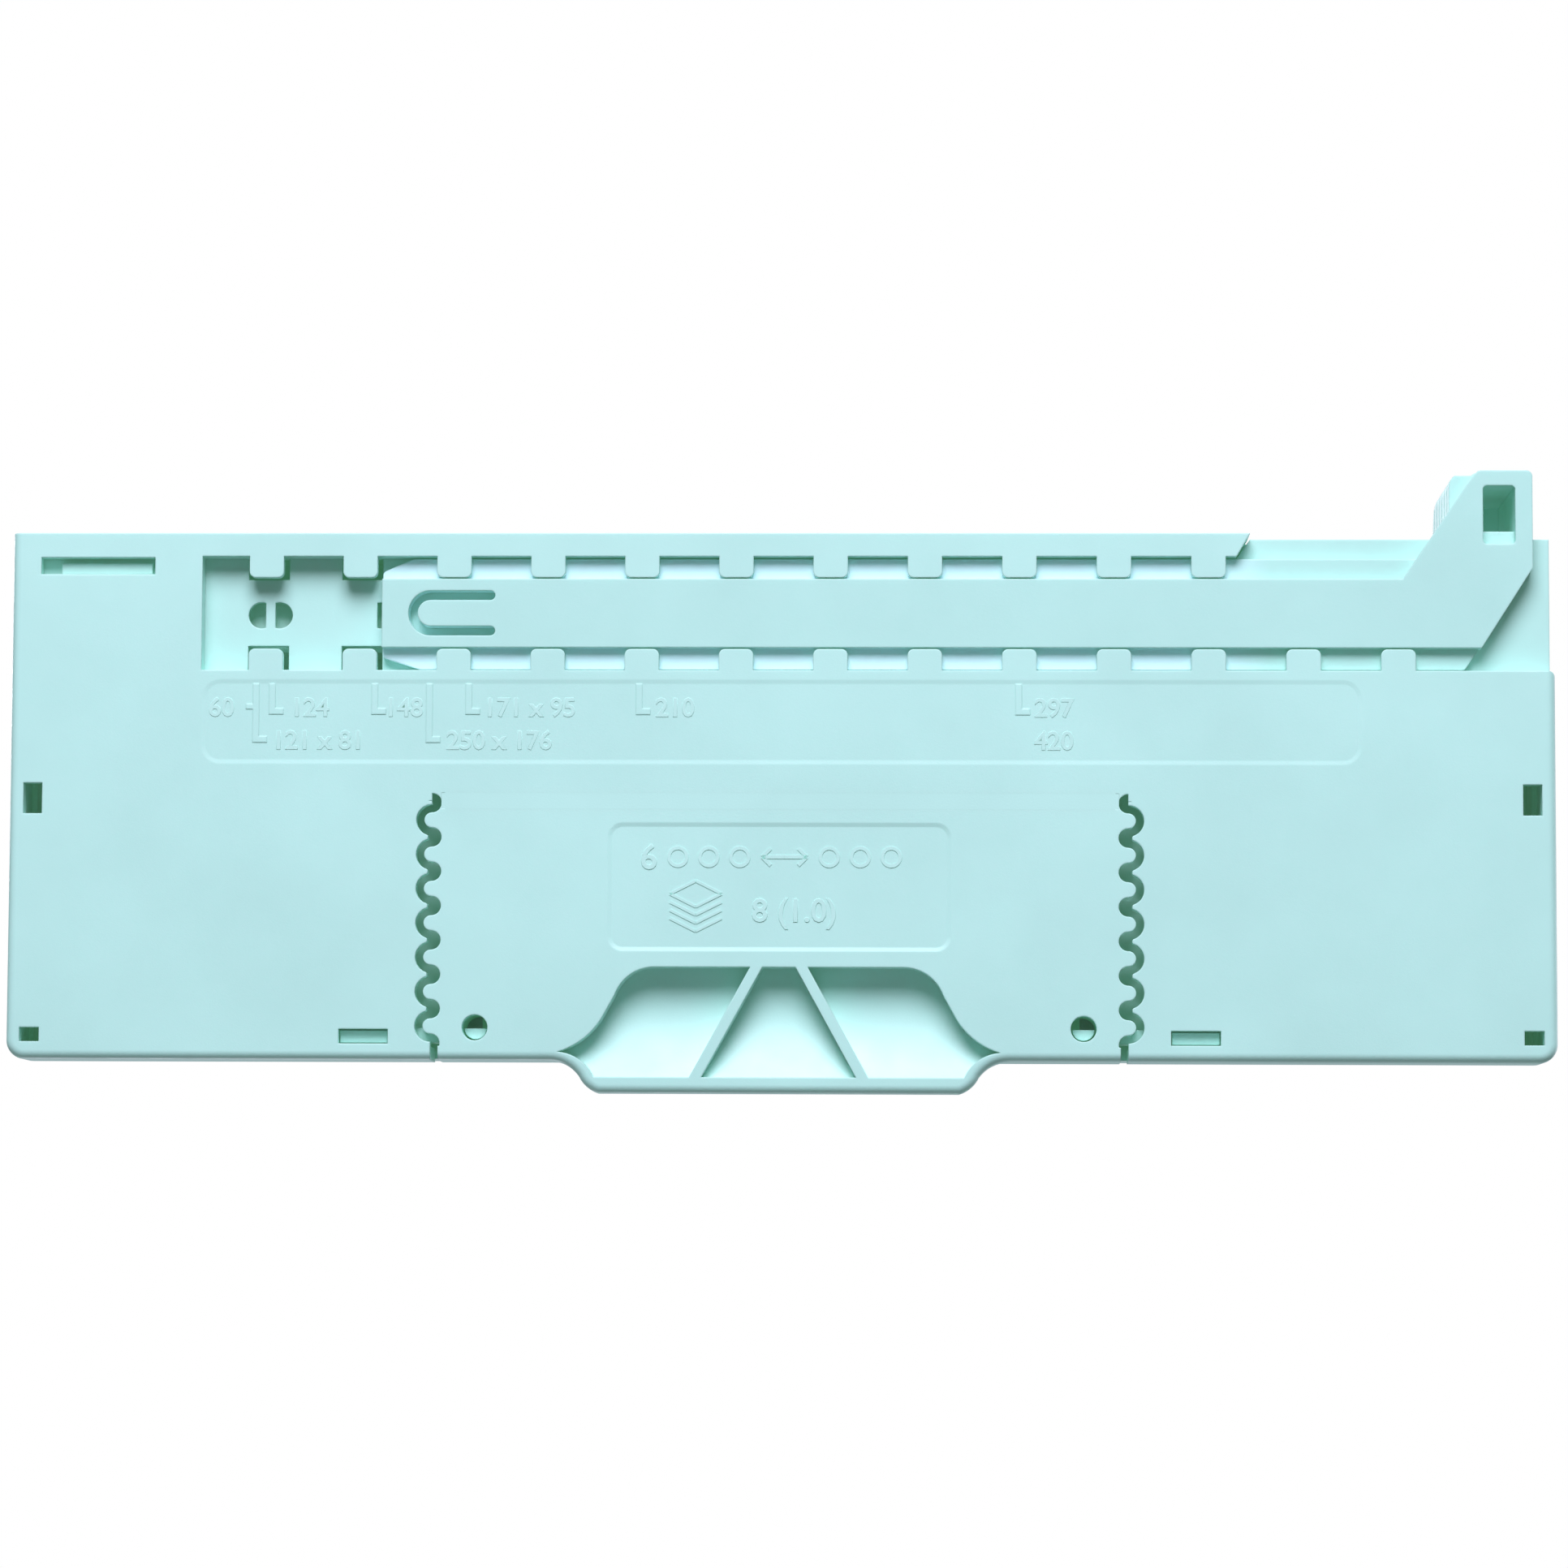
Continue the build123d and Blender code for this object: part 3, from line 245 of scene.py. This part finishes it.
def steel(name, colour, roughness=0.32, grain=(1, 1, 1), grain_scale=900, rounding=STEEL_EDGE):
    """Bare or plated metal with fine grinding marks along one direction."""
    s = Shader(name)
    marks = s.noise(grain_scale, 4.0, grain)
    s.join(s.blend(s.noise(70, 3.0), tinted(colour, 0.93), tinted(colour, 1.05)),
           s.principled.inputs["Base Color"])
    s.join(s.spread(marks, roughness - 0.08, roughness + 0.1), s.principled.inputs["Roughness"])
    s.bump(marks, 0.006 * MM, 0.6, rounding)
    s.fix(Metallic=1.0)
    return s.material


def soft_pad(name, colour):
    """A soft-touch inlay with a pebbled grain."""
    s = Shader(name)
    grain = s.add("ShaderNodeTexVoronoi")
    grain.inputs["Scale"].default_value = 1500
    s.join(s.place, grain.inputs["Vector"])
    s.join(s.blend(s.noise(60, 3.0), tinted(colour, 0.95), tinted(colour, 1.03)),
           s.principled.inputs["Base Color"])
    s.join(s.spread(s.noise(300), 0.62, 0.75), s.principled.inputs["Roughness"])
    s.bump(grain.outputs["Distance"], 0.05 * MM, 0.7)
    s.fix(Sheen_Weight=0.15, Specular_IOR_Level=0.3)
    return s.material


# Emission Strength on the mint parts below is a painted glow that lightens their shade
materials = {
    "cover": plastic("cover_abs", MINT, hinged=True, painted_glow=0.035),
    "door": plastic("door_abs", tinted(MINT, 1.01), hinged=True, painted_glow=0.035),
    "film": plastic("film_abs", tinted(MINT, 1.005), rounding=0, scatter=0.0, painted_glow=0.035),
    # the raised digits and pictogram are 6% lighter than the cover: a painted highlight on their strokes
    "label": plastic("label_abs", tinted(MINT, 1.06), rounding=0.03 * MM, painted_glow=0.035),
    "housing": plastic("housing_abs", tinted(MINT, 0.98), painted_glow=0.045),
    "guide": guide_plastic(),
    "handle": plastic("handle_abs", tinted(MINT, 1.02), roughness=0.36),
    "scale": plastic("strip_print_base", (0.86, 0.90, 0.90), roughness=0.5, rounding=0, scatter=0.0),
    "pad": soft_pad("pad_soft_touch", (0.62, 0.80, 0.82)),
    "grip": plastic("white_abs", (0.84, 0.88, 0.88), roughness=0.4),
    "chassis_steel": steel("chassis_zinc", (0.62, 0.63, 0.65), 0.38, (1, 14, 14), 120),
    "frame_steel": steel("frame_zinc", (0.58, 0.59, 0.61), 0.38, (1, 14, 14), 120),
    "rod_steel": steel("ground_rod", (0.74, 0.75, 0.76), 0.2, (14, 1, 1), 160),
    "pin_steel": steel("hardened_steel", (0.56, 0.57, 0.58), 0.26, (1, 1, 14), 160),
    "spring_steel": steel("spring_wire", (0.50, 0.51, 0.53), 0.3, rounding=0),
    "carriage_zinc": steel("die_cast_zinc", (0.60, 0.62, 0.64), 0.48, (1, 1, 1), 1400),
    "cap": plastic("dark_acetal", (0.035, 0.04, 0.045), roughness=0.4, scatter=0.0),
    "screw": steel("screw_zinc", (0.68, 0.69, 0.71), 0.28),
    "print": plastic("strip_print_ink", (0.05, 0.13, 0.15), roughness=0.6, rounding=0, scatter=0.0),
}


def dress(obj, slot):
    obj.data.materials.clear()
    obj.data.materials.append(materials[slot])


for part in frame["record"]["subparts"]:
    dress(NODES[part["node"]], part["material_slot"])


# ------------------------------------------------------------------ pieces of the scene's own
def link_new(name, data):
    obj = bpy.data.objects.new(name, data)
    bpy.context.scene.collection.objects.link(obj)
    return obj


def attach(obj, body, slot, material=None):
    """Gives a piece its material, picked by its slot unless another is named, and its body."""
    dress(obj, material or slot)
    if body:
        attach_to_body(obj, body)
    return obj


def add_mesh(name, verts, faces, body, slot, material=None, smooth=False):
    mesh = bpy.data.meshes.new(name)
    mesh.from_pydata(verts, [], faces)
    mesh.update()
    if smooth:
        mesh.shade_smooth()
    else:
        mesh.shade_flat()
    return attach(link_new(name, mesh), body, slot, material)


WIRE = 0.35 * MM              # half the spring wire's diameter
TURNS, DEAD_TURNS = 7.0, 1.0  # all turns, and the closed ones at each end
CLOSED_PITCH = 2.05 * WIRE
TURN_STEPS, WIRE_SIDES = 28, 10


def coil_spring(name, node, body):
    """A compression spring with closed ends, in the place of its CAD stand-in."""
    low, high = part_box(node)
    centre = (low + high) / 2
    radius = (high.x - low.x) / 2 - WIRE
    rise = high.z - low.z - 2 * WIRE
    count = int(TURNS * TURN_STEPS)
    verts, faces = [], []
    for i in range(count + 1):
        turn = i / TURN_STEPS
        active = min(max((turn - DEAD_TURNS) / (TURNS - 2 * DEAD_TURNS), 0.0), 1.0)
        closed = min(turn, DEAD_TURNS) + max(turn - (TURNS - DEAD_TURNS), 0.0)
        z = low.z + WIRE + closed * CLOSED_PITCH + active * (rise - 2 * DEAD_TURNS * CLOSED_PITCH)
        angle = turn * math.tau
        out = Vector((math.cos(angle), math.sin(angle), 0))
        at = Vector((centre.x, centre.y, z)) + out * radius
        for k in range(WIRE_SIDES):
            a = k * math.tau / WIRE_SIDES
            verts.append(at + (out * math.cos(a) + Vector((0, 0, math.sin(a)))) * WIRE)
    for i in range(count):
        for k in range(WIRE_SIDES):
            a, b = i * WIRE_SIDES + k, i * WIRE_SIDES + (k + 1) % WIRE_SIDES
            faces.append((a, b, b + WIRE_SIDES, a + WIRE_SIDES))
    faces.append(tuple(range(WIRE_SIDES - 1, -1, -1)))
    faces.append(tuple(count * WIRE_SIDES + k for k in range(WIRE_SIDES)))
    spring = add_mesh(name, verts, faces, body, "spring_steel", smooth=True)
    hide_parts(node)
    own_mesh(spring)


for k in range(1, 7):
    stand_in = f"return_spring_{k}"
    coil_spring(f"coil_spring_{k}", stand_in, BODY_OF[stand_in])


CAP_HEIGHT = 0.69             # height of the font's digits at size 1


def text_mesh(words, height, depth, weight):
    """Digits as a solid mesh in the XY plane."""
    curve = bpy.data.curves.new("digits", "FONT")
    curve.body = words
    curve.size = height / CAP_HEIGHT
    curve.offset = weight
    curve.extrude = depth / 2
    curve.bevel_depth = DIGIT_BEVEL
    curve.bevel_resolution = 1
    curve.resolution_u = 3
    holder = link_new("digits", curve)
    mesh = bpy.data.meshes.new_from_object(holder)
    bpy.data.objects.remove(holder)
    bpy.data.curves.remove(curve)
    return mesh


def put_digits(name, words, x, y, z, height, body, slot, material=None, below=True, depth=STRIP_RELIEF,
               centred=False, weight=0.0):
    """Digits that start at x with their feet at y: raised from a face seen from below, or from above."""
    mesh = text_mesh(words, height, depth, weight)
    if centred:
        xs = [v.co.x for v in mesh.vertices]
        x -= (min(xs) + max(xs)) / 2
    obj = link_new(name, mesh)
    turn = Matrix.Rotation(math.pi, 4, "X") if below else Matrix.Identity(4)
    obj.matrix_world = Matrix.Translation((x, y, z)) @ turn
    attach(obj, body, slot, material)


# Sheet sizes beside the index marks: the words, where they start and on which of the two lines.
LABEL_HEIGHT = 2.1 * MM
LABEL_WEIGHT = 0.05 * MM
LINES_Y = (-7.5 * MM, -3.65 * MM)
LABELS = [
    ("60", -66.8, 0), ("124", -57.2, 0), ("148", -46.2, 0), ("171 x 95", -34.6, 0), ("210", -14.5, 0),
    ("297", 29.6, 0), ("121 x 81", -59.3, 1), ("250 x 176", -38.9, 1), ("420", 29.6, 1),
]
for k, (words, x, line) in enumerate(LABELS):
    put_digits(f"label_{k + 1}", words, x * MM, LINES_Y[line], STRIP_MID, LABEL_HEIGHT, "base", "cover",
               "label", weight=LABEL_WEIGHT)


class Relief:
    """Raised flat strokes in one mesh, from the height `root` down to `root - depth`."""

    def __init__(self, root, depth):
        self.root, self.depth = root, depth
        self.verts, self.faces = [], []

    def ring(self, x, y, radius, width, steps=28):
        first = len(self.verts)
        inner, tip = radius - width, self.root - self.depth
        for k in range(steps):
            a = k * math.tau / steps
            for r, h in ((radius, self.root), (radius, tip), (inner, tip), (inner, self.root)):
                self.verts.append((x + r * math.cos(a), y + r * math.sin(a), h))
        for k in range(steps):
            a, b = first + 4 * k, first + 4 * ((k + 1) % steps)
            for i, j in ((0, 1), (1, 2), (2, 3), (3, 0)):
                self.faces.append((a + i, a + j, b + j, b + i))

    def bar(self, p, q, width):
        first = len(self.verts)
        p, q = Vector(p), Vector(q)
        side = (q - p).orthogonal().normalized() * width / 2
        for h in (self.root, self.root - self.depth):
            for corner in (p + side, q + side, q - side, p - side):
                self.verts.append((corner.x, corner.y, h))
        ends_and_sides = ((3, 2, 1, 0), (4, 5, 6, 7), (0, 1, 5, 4), (1, 2, 6, 5), (2, 3, 7, 6), (3, 0, 4, 7))
        self.faces.extend(tuple(first + i for i in face) for face in ends_and_sides)


RINGS_X, RINGS_Y = 0.6 * MM, 8.9 * MM        # middle of the row of rings
RING_RADIUS, FIRST_RING, RING_PITCH = 1.25 * MM, 5.2 * MM, 3.6 * MM
ARROW_HALF, ARROW_HEAD = 2.6 * MM, 1.0 * MM
ROW_STROKE = 0.42 * MM
STACK_X, STACK_Y = -9.7 * MM, 13.2 * MM      # middle of the topmost sheet's near edges
SHEET_HALF, SHEET_RISE, SHEET_PITCH = 3.0 * MM, 1.5 * MM, 0.95 * MM
SHEETS = 4
STACK_STROKE = 0.34 * MM


def panel_pictogram():
    """Six rings in two groups with a double arrow between them, and a stack of sheets below."""
    relief = Relief(STROKE_TOP, STROKE_RELIEF)
    for side in (-1, 1):
        for k in range(3):
            relief.ring(RINGS_X + side * (FIRST_RING + RING_PITCH * k), RINGS_Y, RING_RADIUS, ROW_STROKE)
        tip = (RINGS_X + side * ARROW_HALF, RINGS_Y)
        relief.bar((RINGS_X, RINGS_Y), tip, ROW_STROKE)
        for lift in (-1, 1):
            relief.bar(tip, (tip[0] - side * ARROW_HEAD, RINGS_Y + lift * ARROW_HEAD), ROW_STROKE)
    left, right = STACK_X - SHEET_HALF, STACK_X + SHEET_HALF
    for k in range(SHEETS):
        y = STACK_Y + k * SHEET_PITCH
        relief.bar((left, y), (STACK_X, y + SHEET_RISE), STACK_STROKE)
        relief.bar((STACK_X, y + SHEET_RISE), (right, y), STACK_STROKE)
    relief.bar((left, STACK_Y), (STACK_X, STACK_Y - SHEET_RISE), STACK_STROKE)
    relief.bar((STACK_X, STACK_Y - SHEET_RISE), (right, STACK_Y), STACK_STROKE)
    add_mesh("panel_pictogram", relief.verts, relief.faces, "chip_door", "door", "label")


panel_pictogram()
PANEL_WORDS = [("panel_count", "6", -16.2, 10.3, 2.8), ("panel_sheets", "8 (1.0)", -3.2, 16.4, 2.6)]
for name, words, x, y, height in PANEL_WORDS:
    put_digits(name, words, x * MM, y * MM, PANEL_MID, height * MM, "chip_door", "door", "label",
               depth=PANEL_RELIEF, weight=LABEL_WEIGHT)


def film_hinge():
    """The thin skin that joins the chip door to the cover along its front edge."""
    y, low, high = HINGE_Y, 0.0, FILM_THICKNESS
    steps = 16
    verts, faces = [], []
    for k in range(steps + 1):
        at = y - FILM_REACH + 2 * FILM_REACH * k / steps
        verts += [(-FILM_HALF, at, low), (FILM_HALF, at, low), (FILM_HALF, at, high), (-FILM_HALF, at, high)]
    for k in range(steps):
        a, b = 4 * k, 4 * k + 4
        for i in range(4):
            j = (i + 1) % 4
            faces.append((a + i, b + i, b + j, a + j))
    faces += [(0, 1, 2, 3), (4 * steps + 3, 4 * steps + 2, 4 * steps + 1, 4 * steps)]
    film = add_mesh("film_hinge", verts, faces, None, "door", "film")
    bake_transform(film)


film_hinge()


INK = 0.03 * MM               # thickness of the printed ticks and digits
DIGIT_LIFT = 0.01 * MM        # middle of the digits' thickness above the strip
TICK_GAP = 0.1 * MM           # from the strip's edge to the ticks
DIGIT_GAP = 0.4 * MM
SCALE_END = 75
SCALE_DIGIT = 1.5 * MM


def scale_print():
    """Millimetre ticks on the paper deck's strip, counted from the middle both ways."""
    low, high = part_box("scale_strip")
    ticks = Relief(high.z + INK, INK)
    for mm in range(-SCALE_END, SCALE_END + 1):
        length = 2.0 if mm % 10 == 0 else 1.4 if mm % 5 == 0 else 0.9
        width = 0.24 if mm % 10 == 0 else 0.15
        ticks.bar((mm * MM, high.y - TICK_GAP), (mm * MM, high.y - length * MM), width * MM)
    add_mesh("scale_ticks", ticks.verts, ticks.faces, "base", "scale", "print")
    for mm in range(-70, 71, 10):
        put_digits(f"scale_digit_{mm + 70}", str(abs(mm)), mm * MM, low.y + DIGIT_GAP, high.z + DIGIT_LIFT,
                   SCALE_DIGIT, "base", "scale", "print", below=False, depth=INK, centred=True)


scale_print()


# ------------------------------------------------------------------ stage
def make_floor():
    """A pale floor that shows from above only, so that the underside can be seen through it."""
    mesh = bpy.data.meshes.new("floor")
    half = 2.5
    corners = [(-half, -half, 0), (half, -half, 0), (half, half, 0), (-half, half, 0)]
    mesh.from_pydata(corners, [], [(0, 1, 2, 3)])
    floor = link_new("floor", mesh)
    floor.location.z = -0.05 * MM
    s = Shader("floor_paper")
    s.join(s.blend(s.noise(6, 3.0), (0.86, 0.87, 0.87), (0.90, 0.905, 0.905)),
           s.principled.inputs["Base Color"])
    s.fix(Roughness=0.9, Specular_IOR_Level=0.1)
    clear = s.add("ShaderNodeBsdfTransparent")
    mix = s.add("ShaderNodeMixShader")
    side_seen = s.add("ShaderNodeNewGeometry").outputs["Backfacing"]
    output = s.tree.nodes["Material Output"]
    s.join(side_seen, mix.inputs[0])
    s.join(s.principled.outputs["BSDF"], mix.inputs[1])
    s.join(clear.outputs["BSDF"], mix.inputs[2])
    s.join(mix.outputs["Shader"], output.inputs["Surface"])
    mesh.materials.append(s.material)
    floor.visible_shadow = False
    floor.visible_diffuse = False
    floor.visible_glossy = False
    floor.visible_transmission = False


LIGHT_COLOUR = (0.88, 0.88, 1.0)
LIGHT_AIM = Vector((0, 0, 20)) * MM
LIGHTS = [   # place, diameter and power
    ("key_below", (-0.03, -0.80, -0.76), 0.75, 18.5),
    ("key_above", (-0.45, -0.25, 0.85), 0.40, 4.2),
    ("fill_above", (0.70, 0.10, 0.50), 0.5, 2.2),
    ("rim_above", (-0.2, 0.75, 0.55), 0.5, 2.6),
]


def soft_light(name, place, size, power):
    light = bpy.data.lights.new(name, "AREA")
    light.shape = "DISK"
    light.size = size
    light.energy = power
    light.color = LIGHT_COLOUR
    obj = link_new(name, light)
    obj.location = place
    obj.rotation_mode = "QUATERNION"
    obj.rotation_quaternion = (LIGHT_AIM - Vector(place)).to_track_quat("-Z", "Y")


FROM_BELOW, FROM_ABOVE = 0.15, 0.42   # strength of the world's light


def make_world():
    """White all round: full strength behind the object; as light softer, and softest from below."""
    world = bpy.data.worlds.new("white_studio")
    bpy.context.scene.world = world
    world.use_nodes = True
    nodes, links = world.node_tree.nodes, world.node_tree.links
    seen = nodes["Background"]
    seen.inputs["Color"].default_value = (1, 1, 1, 1)
    seen.inputs["Strength"].default_value = 1.0
    shine = nodes.new("ShaderNodeBackground")
    shine.inputs["Color"].default_value = (0.90, 0.90, 1.0, 1)
    height = nodes.new("ShaderNodeSeparateXYZ")
    links.new(nodes.new("ShaderNodeTexCoord").outputs["Generated"], height.inputs["Vector"])
    level = nodes.new("ShaderNodeMapRange")
    for name, value in (("From Min", 0.0), ("From Max", 0.5), ("To Min", FROM_BELOW), ("To Max", FROM_ABOVE)):
        level.inputs[name].default_value = value
    links.new(height.outputs["Z"], level.inputs["Value"])
    links.new(level.outputs["Result"], shine.inputs["Strength"])
    mix = nodes.new("ShaderNodeMixShader")
    path = nodes.new("ShaderNodeLightPath")
    links.new(path.outputs["Is Camera Ray"], mix.inputs[0])
    links.new(shine.outputs["Background"], mix.inputs[1])
    links.new(seen.outputs["Background"], mix.inputs[2])
    links.new(mix.outputs["Shader"], nodes["World Output"].inputs["Surface"])


def make_camera():
    data = bpy.data.cameras.new("camera")
    data.sensor_width = SENSOR
    data.lens = FOCAL_LENGTH
    data.clip_start, data.clip_end = 0.01, 10
    camera = link_new("camera", data)
    look = Vector((-math.sin(TURN), -math.cos(TURN) * math.sin(TIP), math.cos(TURN) * math.cos(TIP)))
    right = look.cross(Vector((0, -math.cos(TIP), -math.sin(TIP)))).normalized()
    up = right.cross(look)
    right, up = (right * math.cos(ROLL) + up * math.sin(ROLL), up * math.cos(ROLL) - right * math.sin(ROLL))
    place = AIM - look * DISTANCE
    camera.matrix_world = Matrix((
        (right.x, up.x, -look.x, place.x),
        (right.y, up.y, -look.y, place.y),
        (right.z, up.z, -look.z, place.z),
        (0, 0, 0, 1)))
    bpy.context.scene.camera = camera


make_floor()
make_world()
make_camera()
for settings in LIGHTS:
    soft_light(*settings)
bpy.context.scene.view_settings.view_transform = "Standard"
bpy.context.scene.view_settings.look = "None"
